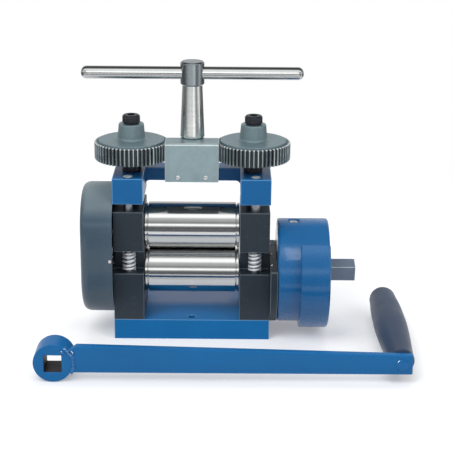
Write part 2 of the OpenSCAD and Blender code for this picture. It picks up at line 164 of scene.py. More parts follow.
def quads(rows, columns):
    """Faces of a grid of points: each joins a point to the next in its row and the next row.
    The last column is joined to the first."""
    row = np.arange(rows - 1)[:, None] * columns
    here = row + np.arange(columns)[None]
    beside = row + (np.arange(columns)[None] + 1) % columns
    return np.stack([here, beside, beside + columns, here + columns], -1).reshape(-1, 4)


def turned(profile, axis, centre, angles=96):
    """Lathe shape. Point = centre + distance * axis + radius * (cos a * side + sin a * up),
    for each (distance, radius) of the profile. A radius may be one number or one per angle."""
    angles = full_turn(angles) if isinstance(angles, int) else angles
    along, side, up = AXES[axis]
    distance = np.array([row[0] for row in profile], float)
    radius = np.stack([np.broadcast_to(row[1], angles.shape) for row in profile])
    swing = np.cos(angles)[:, None] * side + np.sin(angles)[:, None] * up
    points = np.asarray(centre) + distance[:, None, None] * along + radius[..., None] * swing
    return points.reshape(-1, 3), quads(len(distance), len(angles))


def tube(path, radius, sides):
    """Tube along a path. Point = path + radius * (cos b * n + sin b * m), where n is nearly
    level and both stand square to the path's direction. Each end closes to a point."""
    heading = np.gradient(path, axis=0)
    heading /= np.linalg.norm(heading, axis=1, keepdims=True)
    level = np.cross(heading, [0.0, 0.03, 1.0])
    level /= np.linalg.norm(level, axis=1, keepdims=True)
    other = np.cross(level, heading)
    radius = np.broadcast_to(radius, len(path))[:, None, None]
    b = full_turn(sides)[None, :, None]
    rings = path[:, None] + radius * (np.cos(b) * level[:, None] + np.sin(b) * other[:, None])
    ends = np.repeat(path[[0, -1]][:, None], sides, axis=1)
    rings = np.concatenate([ends[:1], rings, ends[1:]])
    return rings.reshape(-1, 3), quads(len(rings), sides)


def joined(*shapes):
    """Several shapes as one mesh: their points in a row, and faces counted on."""
    counts = np.cumsum([0] + [len(points) for points, faces in shapes])
    faces = [faces + start for (points, faces), start in zip(shapes, counts)]
    return np.concatenate([points for points, faces in shapes]), np.concatenate(faces)


def hexagon(angles, half):
    """Radius of a hexagon: half its width over the cosine of the angle from a flat's middle."""
    sixth = math.pi / 3
    return half / np.cos((angles + sixth / 2) % sixth - sixth / 2)


def gear_outline(module, teeth, turn, pressure=20 * DEGREE, addendum=1.0, dedendum=1.25,
                 thin=0.16 * MM, steps=4):
    """Angles and radii round a spur gear, its teeth thinned for play. A flank is an
    involute: at radius r it has turned by tan(a) - a, where cos(a) is base radius over r."""
    pitch_r = module * teeth / 2
    base_r = pitch_r * math.cos(pressure)
    root_r = pitch_r - dedendum * module
    flank = np.linspace(max(base_r, root_r), pitch_r + addendum * module, steps)

    def rolled(r):
        a = np.arccos(np.minimum(1, base_r / r))
        return np.tan(a) - a

    half = math.pi / 2 / teeth - thin / 2 / pitch_r + rolled(pitch_r)
    width = half - rolled(flank)
    angles = np.concatenate([[-width[0]], -width, width[::-1], [width[0]]])
    radii = np.concatenate([[root_r], flank, flank[::-1], [root_r]])
    places = turn + full_turn(teeth)[:, None]
    return (places + angles).ravel(), np.tile(radii, teeth)


def tooth_rows(start, end, outline, tip_cut):
    """Profile rows of a toothed rim with its tooth tips chamfered."""
    cut = np.minimum(outline, outline.max() - tip_cut)
    return [(start, cut), (start + tip_cut, outline), (end - tip_cut, outline), (end, cut)]


def plain_gear(start, end, outline, tip_cut, web, bore):
    """Closed profile of a flat gear: toothed rim, plain faces from the web inwards, bore."""
    rim = tooth_rows(start, end, outline, tip_cut)
    return [(start, bore), (start, web)] + rim + [(end, web), (end, bore), (start, bore)]


# ---------------------------------------------------------------- finishing a piece

def cleaned(mesh, sharp, flat=None):
    """Merge doubled points, then make faces within the flat angle whole or, without one,
    turn all faces outwards. Edges sharper than the other angle stay crisp."""
    work = bmesh.new()
    work.from_mesh(mesh)
    bmesh.ops.remove_doubles(work, verts=work.verts, dist=0.002 * MM)
    if flat:
        bmesh.ops.dissolve_limit(work, angle_limit=flat, verts=work.verts, edges=work.edges)
    else:
        bmesh.ops.recalc_face_normals(work, faces=work.faces)
    work.to_mesh(mesh)
    work.free()
    mesh.shade_smooth()
    mesh.set_sharp_from_angle(angle=sharp)


def placed(name, data):
    """New object in the scene that holds the data."""
    made = bpy.data.objects.new(name, data)
    bpy.context.scene.collection.objects.link(made)
    return made


def piece(name, shape, material, body, replaces=(), sharp=33 * DEGREE):
    """Piece made from points and faces. A piece without a body is not attached to one."""
    points, faces = shape
    mesh = bpy.data.meshes.new(name)
    mesh.from_pydata(points, [], faces.tolist())
    cleaned(mesh, sharp)
    mesh.materials.append(material)
    made = placed(name, mesh)
    if body:
        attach(made, body)
    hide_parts(*replaces)
    return made


def machined(node, material, body, edge, edge_wear_and_highlight):
    """Copy of a CAD node with its flat faces made whole and its edges eased by a bevel. The
    eased strips have a material of their own, painted lighter as a painted edge highlight."""
    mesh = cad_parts[node].data.copy()
    cleaned(mesh, 30 * DEGREE, flat=0.5 * DEGREE)
    mesh.materials.clear()
    mesh.materials.append(material)
    mesh.materials.append(edge_wear_and_highlight)
    made = placed(f"machined_{node}", mesh)
    bevel = made.modifiers.new("eased_edges", "BEVEL")
    bevel.width = edge
    bevel.segments = 3
    bevel.limit_method = "ANGLE"
    bevel.angle_limit = 35 * DEGREE
    bevel.harden_normals = True
    bevel.use_clamp_overlap = False
    bevel.loop_slide = False
    # The eased strips take the second material: a painted edge highlight
    bevel.material = 1
    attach(made, body)
    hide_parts(node)


def two_toned(made, material, chosen):
    """Second material for a piece, on the faces whose middles are chosen."""
    polygons = made.data.polygons
    spots = np.zeros(3 * len(polygons))
    polygons.foreach_get("center", spots)
    made.data.materials.append(material)
    polygons.foreach_set("material_index", chosen(spots.reshape(-1, 3)).astype(np.int32))


# ---------------------------------------------------------------- node helpers

def feed(socket, value):
    """Link an output to an input socket, or set the input to a plain value."""
    if isinstance(value, bpy.types.NodeSocket):
        socket.id_data.links.new(value, socket)
    else:
        socket.default_value = value


def put(tree, kind, inputs=None, **settings):
    """Shader node with its settings made and its inputs linked or set."""
    node = tree.nodes.new("ShaderNode" + kind)
    for key, value in settings.items():
        setattr(node, key, value)
    for key, value in (inputs or {}).items():
        feed(node.inputs[key], value)
    return node


# The next helpers put their node into the tree of the first socket that they are given

def math_node(operation, first, *others):
    """Output of a Math node."""
    return put(first.id_data, "Math", dict(enumerate((first, *others))), operation=operation).outputs[0]


def times(first, second):
    """Product of two values."""
    return math_node("MULTIPLY", first, second)


def vector_node(operation, first, *others, output="Vector"):
    """Output of a Vector Math node."""
    inputs = dict(enumerate((first, *others)))
    return put(first.id_data, "VectorMath", inputs, operation=operation).outputs[output]


def brightened(colour, gain):
    """Colour times a gain."""
    return put(colour.id_data, "VectorMath", {0: colour, "Scale": gain}, operation="SCALE").outputs[0]


def mixed(share, first, second):
    """Colour mix: first where share is 0, second where it is 1."""
    return put(share.id_data, "Mix", {0: share, 6: first, 7: second}, data_type="RGBA").outputs[2]


def ranged(value, low, high, to_low, to_high):
    """Output of a Map Range node that holds its ends."""
    return put(value.id_data, "MapRange", {
        "Value": value, "From Min": low, "From Max": high, "To Min": to_low, "To Max": to_high,
    }).outputs["Result"]


def fade(value, none, full):
    """Share that is 0 where the value is at none, 1 where it is at full, and even between."""
    return ranged(value, none, full, 0.0, 1.0)


def spread(value, low, high):
    """A noise value's usual range, 0.35 to 0.65, spread from low to high."""
    return ranged(value, 0.35, 0.65, low, high)


def noise(where, scale, detail, roughness=0.5):
    """Noise value at a place."""
    return put(where.id_data, "TexNoise", {
        "Vector": where, "Scale": scale, "Detail": detail, "Roughness": roughness,
    }).outputs["Fac"]


def bumped(height, distance, strength=0.5, under=None):
    """Normal from a height, on top of another normal where one is given."""
    inputs = {"Height": height, "Distance": distance, "Strength": strength}
    if under is not None:
        inputs["Normal"] = under
    return put(height.id_data, "Bump", inputs).outputs["Normal"]


def grey(level):
    """Grey colour of that level."""
    return (level, level, level, 1)


def shade(colour, gain):
    """The colour made darker or lighter."""
    return tuple(min(1.0, gain * c) for c in colour[:3]) + (1,)


def effect(name, inputs, outputs):
    """New shader node group with named sockets. Returns its tree, inputs and outputs."""
    tree = bpy.data.node_groups.new(name, "ShaderNodeTree")
    for label, default in inputs:
        kind = "NodeSocketFloat" if isinstance(default, float) else "NodeSocketColor"
        tree.interface.new_socket(label, in_out="INPUT", socket_type=kind).default_value = default
    for label, kind in outputs:
        tree.interface.new_socket(label, in_out="OUTPUT", socket_type="NodeSocket" + kind)
    given = tree.nodes.new("NodeGroupInput").outputs
    result = tree.nodes.new("NodeGroupOutput").inputs
    return tree, given, result


def on_object(tree):
    """Place of a point in Object coordinates."""
    return put(tree, "TexCoord").outputs["Object"]


def facing_up(tree):
    """How far a surface faces up: 1 on a top, 0 on a side, -1 underneath."""
    return put(tree, "SeparateXYZ", {"Vector": put(tree, "TexCoord").outputs["Normal"]}).outputs["Z"]


def object_noise(tree, scale, detail):
    """Noise value on Object coordinates."""
    return noise(on_object(tree), scale, detail, 0.55)


# ---------------------------------------------------------------- shared effects

def make_mottling():
    """Colour that wavers: large clouds and fine specks brighten and darken it by Amount."""
    tree, given, result = effect(
        "mottling", [("Colour", grey(0.5)), ("Amount", 0.1), ("Cloud Scale", 30.0), ("Speck Scale", 900.0)],
        [("Colour", "Color"), ("Value", "Float")])
    clouds = object_noise(tree, given["Cloud Scale"], 4.0)
    specks = object_noise(tree, given["Speck Scale"], 2.0)
    both = math_node("ADD", times(clouds, 0.6), times(specks, 0.4))
    centred = ranged(both, 0.3, 0.7, -1.0, 1.0)
    gain = math_node("ADD", times(centred, given["Amount"]), 1.0)
    feed(result["Colour"], brightened(given["Colour"], gain))
    feed(result["Value"], both)
    return tree


def make_turning_marks():
    """Fine rings that a lathe leaves: noise that changes only along and away from the axis."""
    tree, given, result = effect(
        "turning_marks", [("Along", 0.0), ("Away", 0.0), ("Scale", 2500.0)], [("Height", "Float")])
    place = put(tree, "CombineXYZ", {"X": given["Along"], "Y": given["Away"]}).outputs[0]
    feed(result["Height"], noise(place, given["Scale"], 4.0, 0.7))
    return tree


def make_edge_wear_and_highlight_mask():
    """Mask of edges painted lighter, partly wear and partly a painted highlight: where the
    surface is sharpest, broken up by noise.
    """
    tree, given, result = effect(
        "edge_wear_and_highlight_mask", [("Start", 0.53), ("Full", 0.60), ("Break Scale", 260.0)], [("Mask", "Float")])
    raised = fade(put(tree, "NewGeometry").outputs["Pointiness"], given["Start"], given["Full"])
    broken = ranged(object_noise(tree, given["Break Scale"], 5.0), 0.38, 0.62, 0.25, 1.0)
    feed(result["Mask"], times(raised, broken))
    return tree


def make_fine_scratches():
    """Mask of hairline scratches: thin contours of a stretched noise, in two directions."""
    tree, given, result = effect(
        "fine_scratches", [("Scale", 90.0), ("Width", 0.012)], [("Mask", "Float")])
    where = on_object(tree)
    lines = []
    for stretch in ((1.0, 5.0, 9.0), (7.0, 2.0, 1.0)):
        drawn = vector_node("MULTIPLY", where, stretch)
        level = noise(drawn, given["Scale"], 1.0)
        off = math_node("ABSOLUTE", math_node("SUBTRACT", level, 0.5))
        lines.append(math_node("LESS_THAN", off, given["Width"]))
    feed(result["Mask"], math_node("MAXIMUM", *lines))
    return tree


MOTTLING = make_mottling()
TURNING_MARKS = make_turning_marks()
EDGE_WEAR_AND_HIGHLIGHT_MASK = make_edge_wear_and_highlight_mask()
FINE_SCRATCHES = make_fine_scratches()


# ---------------------------------------------------------------- materials

def new_material(name):
    """Empty material. Returns it, its tree and the socket that its shader goes to."""
    material = bpy.data.materials.new(name)
    material.use_nodes = True
    tree = material.node_tree
    tree.nodes.clear()
    return material, tree, put(tree, "OutputMaterial").inputs["Surface"]


def principled(name):
    """New material with only a Principled shader. Returns the material, tree and sockets."""
    material, tree, surface = new_material(name)
    shader = put(tree, "BsdfPrincipled")
    feed(surface, shader.outputs[0])
    return material, tree, shader.inputs


def group(tree, which, **inputs):
    """One of the shared effects, placed with its own values."""
    named = {key.replace("_", " "): value for key, value in inputs.items()}
    return put(tree, "Group", named, node_tree=which).outputs


def painted_top_sheen(tree, paint, start, reach, side, sheen_colour):
    """Lighter colour on the faces that look up: a painted sheen. It thickens from the start on Y
    over the reach, lies as far as the side from X = 0, thins towards the rear, and its edges
    waver."""
    rear, rear_edge = 28 * MM, 40 * MM
    spot = put(tree, "SeparateXYZ", {"Vector": on_object(tree)}).outputs
    cloud = object_noise(tree, 60.0, 3.0)
    along = math_node("MULTIPLY_ADD", cloud, 5 * MM, spot["Y"])
    aside = math_node("MULTIPLY_ADD", cloud, 30 * MM, math_node("ABSOLUTE", spot["X"]))
    veil = ranged(facing_up(tree), 0.4, 0.95, 0.0, 0.6)
    veil = times(veil, fade(along, start, start + reach))
    veil = times(veil, fade(aside, side, 0.6 * side))
    veil = times(veil, ranged(spot["Y"], rear, rear_edge, 1.0, 0.3))
    return mixed(veil, paint, sheen_colour)


def enamel(name, colour, wear_and_highlight_colour=None, roughness=0.3, coat=0.15, waves=1.0, shine=0.25, sheen_on_top=None, blur=0.08):
    """Gloss enamel: uneven colour, lighter edges, soft waves from the brush and the casting.
    Edges are painted lighter, partly wear and partly a painted highlight, where a colour for
    them is given, which suits shapes with many points: the mask is read at a mesh's points.
    Blur is the roughness of the coat."""
    material, tree, shader = principled(name)
    tint = group(tree, MOTTLING, Colour=colour, Amount=0.09, Cloud_Scale=24.0, Speck_Scale=700.0)
    paint = tint["Colour"]
    if wear_and_highlight_colour:
        # Edges painted lighter: partly wear, partly a painted highlight
        edge = group(tree, EDGE_WEAR_AND_HIGHLIGHT_MASK, Start=0.54, Full=0.66, Break_Scale=300.0)["Mask"]
        paint = mixed(times(edge, 0.55), paint, wear_and_highlight_colour)
    # Painted sheen: lighter colour on faces that look up
    if sheen_on_top:
        paint = painted_top_sheen(tree, paint, *sheen_on_top)
    feed(shader["Base Color"], paint)
    feed(shader["Roughness"], spread(tint["Value"], roughness, roughness + 0.12))
    swells = bumped(object_noise(tree, 70.0, 2.0), 0.12 * waves * MM)
    feed(shader["Normal"], bumped(object_noise(tree, 1100.0, 2.0), 0.02 * MM, under=swells))
    feed(shader["Specular IOR Level"], shine)
    feed(shader["Coat Weight"], coat)
    feed(shader["Coat Roughness"], blur)
    return material


def blackened(name, colour, wear_and_highlight_colour, roughness=0.42, metallic=0.3, edge_wear_and_highlight=False):
    """Blackened iron: satin, mottled, with faint scratches and, if asked, lighter edges,
    partly wear and partly a painted highlight.
    """
    material, tree, shader = principled(name)
    tint = group(tree, MOTTLING, Colour=colour, Amount=0.06, Cloud_Scale=45.0, Speck_Scale=1400.0)
    share = times(group(tree, FINE_SCRATCHES, Scale=60.0, Width=0.006)["Mask"], 0.08)
    if edge_wear_and_highlight:
        # Edges painted lighter: partly wear, partly a painted highlight
        edge = group(tree, EDGE_WEAR_AND_HIGHLIGHT_MASK, Start=0.53, Full=0.62, Break_Scale=420.0)["Mask"]
        share = math_node("MAXIMUM", times(edge, 0.6), share)
    feed(shader["Base Color"], mixed(share, tint["Colour"], wear_and_highlight_colour))
    feed(shader["Roughness"], spread(tint["Value"], roughness - 0.05, roughness + 0.1))
    feed(shader["Normal"], bumped(object_noise(tree, 1500.0, 3.0), 0.03 * MM))
    feed(shader["Metallic"], metallic)
    return material


def milled(name, colour, roughness=0.4, metallic=0.9, underside_shade=None, edge_wear_and_highlight=False):
    """Milled metal: satin, faintly cloudy, with short tool marks along X and, if asked, edges
    painted bright, partly wear and partly a painted highlight. A face that looks down can be
    painted darker: painted shade."""
    material, tree, shader = principled(name)
    tint = group(tree, MOTTLING, Colour=colour, Amount=0.12, Cloud_Scale=110.0, Speck_Scale=1500.0)
    metal = tint["Colour"]
    if edge_wear_and_highlight:
        # Edges painted bright: partly wear, partly a painted highlight
        edge = group(tree, EDGE_WEAR_AND_HIGHLIGHT_MASK, Start=0.53, Full=0.62, Break_Scale=400.0)["Mask"]
        metal = mixed(times(edge, 0.5), metal, grey(0.85))
    # Painted shade: faces that look down are painted darker
    if underside_shade:
        metal = mixed(fade(facing_up(tree), -0.5, -0.9), metal, underside_shade)
    drawn = vector_node("MULTIPLY", on_object(tree), (60.0, 1500.0, 1500.0))
    marks = noise(drawn, 1.0, 3.0)
    feed(shader["Base Color"], metal)
    feed(shader["Roughness"], ranged(marks, 0.3, 0.7, roughness - 0.06, roughness + 0.08))
    feed(shader["Normal"], bumped(marks, 0.015 * MM))
    feed(shader["Metallic"], metallic)
    return material


def lathed(name, axis, centre, colour, roughness=0.25, mark_scale=2500.0, mark_depth=0.006 * MM,
           dull=0.08, teeth=None, metallic=1.0):
    """Turned metal: rings round its axis in shine and height, with a slightly uneven colour.
    Teeth are (radius of their tips, height of their top)."""
    material, tree, shader = principled(name)
    direction = AXES[axis][0]
    local = vector_node("SUBTRACT", on_object(tree), tuple(centre))
    along = vector_node("DOT_PRODUCT", local, tuple(direction), output="Value")
    across = vector_node("MULTIPLY", local, tuple(1 - direction))
    away = vector_node("LENGTH", across, output="Value")
    rings = group(tree, TURNING_MARKS, Along=along, Away=away, Scale=mark_scale)["Height"]
    tint = group(tree, MOTTLING, Colour=colour, Amount=0.06, Cloud_Scale=60.0, Speck_Scale=1200.0)
    metal = mixed(spread(rings, 0.0, 0.3), tint["Colour"], shade(colour, 0.75))
    shine = ranged(rings, 0.3, 0.7, roughness, roughness + dull)
    feed(shader["Metallic"], metallic)
    if teeth:
        # Teeth: painted shade in the gaps, painted highlights on the lands and the tip chamfer
        metal, land = toothed(metal, along, away, *teeth)
        feed(shader["Metallic"], ranged(land, 0.0, 1.0, metallic, 1.0))
        shine = times(shine, ranged(land, 0.0, 1.0, 1.0, 0.45))
    feed(shader["Base Color"], metal)
    feed(shader["Roughness"], shine)
    feed(shader["Normal"], bumped(rings, mark_depth, 0.6))
    return material


def toothed(metal, height, away, tip_r, top):
    """Colour of a gear's rim. Under the upper chamfer the gaps between the teeth are painted dark
    as painted shade and their lands are painted pale as a painted highlight, and the chamfer
    itself is painted bright as a painted highlight. Returns the colour and the mask of the lands."""
    below = fade(height, top - 0.9 * MM, top - 1.1 * MM)
    gap = times(fade(away, tip_r - 0.3 * MM, tip_r - 1.3 * MM),
                fade(away, tip_r - 3.2 * MM, tip_r - 2.9 * MM))
    # Painted shade: the gaps between the teeth are painted dark
    metal = mixed(times(below, gap), metal, (0.075, 0.088, 0.094, 1))
    land = times(below, fade(away, tip_r - 0.3 * MM, tip_r - 0.1 * MM))
    # Painted highlight: the lands are painted pale
    metal = mixed(times(land, 0.35), metal, grey(0.85))
    # Painted highlight: the tip chamfer is painted bright
    chamfer = times(fade(height, top - 1.0 * MM, top - 0.8 * MM),
                    fade(height, top, top - 0.05 * MM))
    outer = fade(away, tip_r - 1.6 * MM, tip_r - 1.2 * MM)
    return mixed(times(chamfer, outer), metal, grey(0.8)), land


def moulded(name, colour):
    """Moulded plastic: nearly even colour, a fine mould texture and faint scuffs."""
    material, tree, shader = principled(name)
    tint = group(tree, MOTTLING, Colour=colour, Amount=0.14, Cloud_Scale=55.0, Speck_Scale=600.0)
    scuffs = times(group(tree, FINE_SCRATCHES, Scale=40.0, Width=0.008)["Mask"], 0.12)
    feed(shader["Base Color"], mixed(scuffs, tint["Colour"], shade(colour, 1.9)))
    feed(shader["Roughness"], spread(tint["Value"], 0.36, 0.5))
    feed(shader["Normal"], bumped(object_noise(tree, 1300.0, 2.0), 0.03 * MM))
    feed(shader["Specular IOR Level"], 0.3)
    return material


BLUE = (0.008, 0.127, 0.34, 1)
# Lighter blue for edges: partly wear, partly a painted highlight
BLUE_WEAR_AND_HIGHLIGHT = (0.16, 0.30, 0.55, 1)
PALE_IRON = (0.16, 0.19, 0.21, 1)
# Painted sheens, as (start on Y, reach, side from X = 0, colour): a painted reflection on the base top
# between the blocks, and a painted sheen on top of the roll gear cover
BASE_TOP_SHEEN = (-6 * MM, 14 * MM, 75 * MM, (0.285, 0.275, 0.325, 1))
COVER_TOP_SHEEN = (-80 * MM, 20 * MM, 1.0, (0.30, 0.37, 0.38, 1))

BLUE_ENAMEL = enamel("blue_enamel", BLUE)
BASE_BLUE = enamel("blue_enamel_on_base", (0.0125, 0.160, 0.41, 1), None, 0.34, 0.0, shine=0.06,
                   sheen_on_top=BASE_TOP_SHEEN)
CRANK_BLUE = enamel("blue_enamel_on_crank", BLUE, BLUE_WEAR_AND_HIGHLIGHT, 0.32, 0.08, shine=0.15)
SLATE_ENAMEL = enamel("slate_enamel", (0.055, 0.090, 0.125, 1), (0.16, 0.2, 0.25, 1), 0.34, 0.3,
                      sheen_on_top=COVER_TOP_SHEEN)
CAST_BLUE = enamel("blue_enamel_on_casting", (0.010, 0.120, 0.315, 1), BLUE_WEAR_AND_HIGHLIGHT, 0.2, 0.45, 9.0, 0.2,
                   blur=0.15)
RIVET_BLUE = enamel("blue_enamel_on_rivet", BLUE, None, 0.14, 0.1, shine=0.15)
GLOSS_BLUE = enamel("thick_blue_enamel", BLUE, None, 0.2, 0.35, 0.5, blur=0.14)
# Lighter materials for the eased edge strips of the machined copies: painted edge highlights
BLUE_EDGE_HIGHLIGHT = enamel("blue_enamel_edges", (0.09, 0.28, 0.56, 1), None, 0.25, 0.5)
BLACK_IRON = blackened("black_iron", (0.022, 0.034, 0.048, 1), PALE_IRON)
PLATE_IRON = blackened("black_iron_on_plate", (0.012, 0.023, 0.034, 1), PALE_IRON)
BARE_SOCKET = blackened("bare_socket_steel", (0.030, 0.022, 0.026, 1), (0.08, 0.07, 0.07, 1), 0.5)
BLACK_SCREW = blackened("black_screw_steel", (0.022, 0.025, 0.032, 1), (0.08, 0.08, 0.09, 1), 0.36, 0.5,
                        edge_wear_and_highlight=True)
IRON_EDGE_HIGHLIGHT = blackened("black_iron_edges", PALE_IRON, (0.3, 0.33, 0.36, 1), 0.36, 0.6)
ALLOY_EDGE_HIGHLIGHT = milled("milled_alloy_edges", (0.86, 0.9, 0.9, 1), 0.3)
# The gear block's faces that look down are painted darker: painted shade
BLOCK_METAL = milled("milled_alloy", (0.38, 0.50, 0.53, 1), underside_shade=(0.16, 0.18, 0.2, 1))
SHAFT_STEEL = milled("milled_shaft_steel", (0.165, 0.215, 0.28, 1), 0.36, 0.3)
SHAFT_EDGE_HIGHLIGHT = milled("milled_shaft_edges", (0.5, 0.56, 0.6, 1), 0.3, 0.5)
BRONZE = milled("bearing_bronze", (0.50, 0.30, 0.13, 1), 0.35, edge_wear_and_highlight=True)
SPRING_STEEL = milled("spring_wire_steel", (0.86, 0.88, 0.9, 1), 0.38, 0.55, edge_wear_and_highlight=True)
SMALL_STEEL = milled("small_screw_steel", (0.78, 0.78, 0.78, 1), 0.22, edge_wear_and_highlight=True)
# Pillar ends painted near white: a painted highlight on the bare faced steel
FACED_STEEL_HIGHLIGHT = milled("faced_pillar_end_steel", (0.93, 0.95, 0.98, 1), 0.4, 0.2, edge_wear_and_highlight=True)
GRIP_PLASTIC = moulded("grip_plastic", (0.035, 0.056, 0.098, 1))


# ---------------------------------------------------------------- frame castings

def castings():
    """Base, top casting and bearing blocks: machined copies with eased edges."""
    machined("base", BASE_BLUE, "frame", 0.5 * MM, BLUE_EDGE_HIGHLIGHT)
    machined("yoke", BLUE_ENAMEL, "frame", 0.7 * MM, BLUE_EDGE_HIGHLIGHT)
    for side in SIDES:
        machined(f"lower_block_{side}", BLACK_IRON, "frame", 0.45 * MM, IRON_EDGE_HIGHLIGHT)
        machined(f"upper_block_{side}", BLACK_IRON, "upper_carriage", 0.45 * MM, IRON_EDGE_HIGHLIGHT)
    machined("gear_block", BLOCK_METAL, "frame", 0.35 * MM, ALLOY_EDGE_HIGHLIGHT)
    machined("gearbox_plate", PLATE_IRON, "frame", 0.6 * MM, IRON_EDGE_HIGHLIGHT)


def pillars():
    """Bright tie pillars: rods, each with a faced end that stands just proud of its casting.
    The faced ends are painted near white: a painted highlight.
    """
    for place in PILLAR_PLACES:
        node = f"pillar_{place}"
        foot, top, r, centre = extent(node, "Z")
        steel = lathed(f"{node}_steel", "Z", centre, (0.42, 0.44, 0.46, 1), 0.3)
        piece(f"turned_{node}", turned(rod(foot, top, r, 0.5 * MM), "Z", centre, 48), steel, "frame",
              (node,))
        end = rod(top - 0.2 * MM, top + 0.15 * MM, r - 0.3 * MM, 0.3 * MM)
        piece(f"faced_{node}", turned(end, "Z", centre, 48), FACED_STEEL_HIGHLIGHT, "frame")


def springs():
    """Lifting springs: a wire wound round each pillar. The height climbs with t less a
    quarter of sin(2 pi t) / 2 pi, so that the end coils lie flatter."""
    turns, wire, slack = 5.6, 1.05 * MM, 0.03 * MM
    t = np.linspace(0, 1, 320)
    climb = t - 0.25 * np.sin(2 * math.pi * t) / (2 * math.pi)
    angle = 2 * math.pi * turns * t
    for place in PILLAR_PLACES:
        node = f"spring_{place}"
        foot, top, r, (x, y, _) = extent(node, "Z")
        coil_r = r - wire + slack
        height = foot + wire + climb * (top - foot - 2 * wire)
        path = np.stack([x + coil_r * np.cos(angle), y + coil_r * np.sin(angle), height], -1)
        spring = piece(f"wound_{node}", tube(path, wire, 14), SPRING_STEEL, None, (node,))
        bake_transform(spring)


# ---------------------------------------------------------------- rolls and bearings

def roll(level):
    """One roll: polished face between two grooves, then shoulders and journals."""
    node = f"{level}_roll"
    start, end, r, centre = extent(node, "X")
    groove_r, shoulder_r = r - 2 * MM, r - 0.6 * MM
    groove_end = FACE_HALF + GROOVE
    shoulder_end = groove_end + SHOULDER
    half = [(FACE_HALF, r), (FACE_HALF, groove_r), (groove_end, groove_r), (groove_end, shoulder_r),
            (shoulder_end, shoulder_r), (shoulder_end, JOURNAL_R)]
    left = [(-x, radius) for x, radius in reversed(half)]
    outline = [(start, 0), (start, JOURNAL_R)] + left + half + [(end, JOURNAL_R), (end, 0)]
    steel = lathed(f"{level}_roll_steel", "X", centre, (0.57, 0.58, 0.575, 1), 0.09, 1800.0, 0.002 * MM, 0.06)
    piece(f"turned_{node}", turned(eased(outline, 0.3 * MM), "X", centre, 144), steel, node,
          (node,))


def bush(node, body):
    """Bronze sleeve with eased rims."""
    start, end, r, centre = extent(node, "X")
    loop = sleeve(start, end, JOURNAL_R + 0.08 * MM, r, 0.4 * MM)
    piece(f"turned_{node}", turned(loop, "X", centre), BRONZE, body, (node,))


def roll_gear(level):
    """Deep-toothed gear at the end of a roll, chamfered at its tips."""
    node = f"{level}_roll_gear"
    teeth = 13
    module = (UPPER_AXIS[2] - LOWER_AXIS[2]) / teeth
    angles, outline = gear_outline(module, teeth, math.pi / 2, 25 * DEGREE, 0.9, 1.3, 1.2 * MM, 6)
    start, end, *_ = extent(node, "X")
    rows = plain_gear(start, end, outline, 0.8 * MM, outline.min() - 1.5 * MM, JOURNAL_R + 0.05 * MM)
    centre = extent(f"{level}_roll", "X").centre
    steel = lathed(f"{node}_steel", "X", centre, (0.36, 0.37, 0.39, 1), 0.34)
    piece(f"cut_{node}", turned(rows, "X", centre, angles), steel, f"{level}_roll", (node,))


# ---------------------------------------------------------------- covers and gearbox

def roll_gear_cover():
    """Enamelled cover: each point lies at a radius from the nearer roll axis, so that the
    section is two half circles joined by straights. The wall is closed inside and out."""
    low, high = corners("roll_gear_cover")
    face, mouth = low[0], high[0]
    r = (high[1] - low[1]) / 2
    wall, columns = 3 * MM, 144
    outside = eased([(mouth, r), (face, r), (face, 0)], 9 * MM, 10)
    inside = eased([(face + wall, 0), (face + wall, r - wall), (mouth, r - wall), (mouth, r)],
                   np.array([6, 0.5]) * MM, 6)
    rows = np.concatenate([outside, inside])
    angles = full_turn(columns) + math.pi / columns
    level = np.where(np.cos(angles) > 0, UPPER_AXIS[2], LOWER_AXIS[2])
    points = np.stack([
        np.broadcast_to(rows[:, :1], (len(rows), columns)),
        LOWER_AXIS[1] + rows[:, 1:] * np.sin(angles),
        level + rows[:, 1:] * np.cos(angles)], -1)
    piece("enamelled_roll_gear_cover", (points.reshape(-1, 3), quads(len(rows), columns)), SLATE_ENAMEL,
          "frame", ("roll_gear_cover",))


def gearbox_drum():
    """Drum with a dished seat for the oil plug. The seat sinks with the distance inside its
    rim, measured along the drum and round it, and the angles lie closer together there."""
    start, end, r, centre = extent("gearbox_drum", "X")
    plug_x = middle("oil_plug")[0]
    seat_r, depth, slope, margin = 5.2 * MM, 2.2 * MM, 1.1 * MM, 0.6 * MM
    near_plug = np.linspace(-8, 8, 33)
    elsewhere = np.linspace(8, 352, 130)[1:-1]
    angles = (90 + np.concatenate([near_plug, elsewhere])) * DEGREE
    rows = [(start, JOURNAL_R)] + rounded(start, r, 2.6 * MM, 7, -1)
    for x in np.linspace(plug_x - seat_r - margin, plug_x + seat_r + margin, 25):
        away = np.hypot(x - plug_x, r * (angles - math.pi / 2))
        rows.append((x, r - depth * np.clip((seat_r - away) / slope, 0, 1)))
    rows += [(end, r), (end, JOURNAL_R)]
    return piece("enamelled_gearbox_drum", turned(rows, "X", centre, angles), CAST_BLUE, "frame",
                 ("gearbox_drum",))


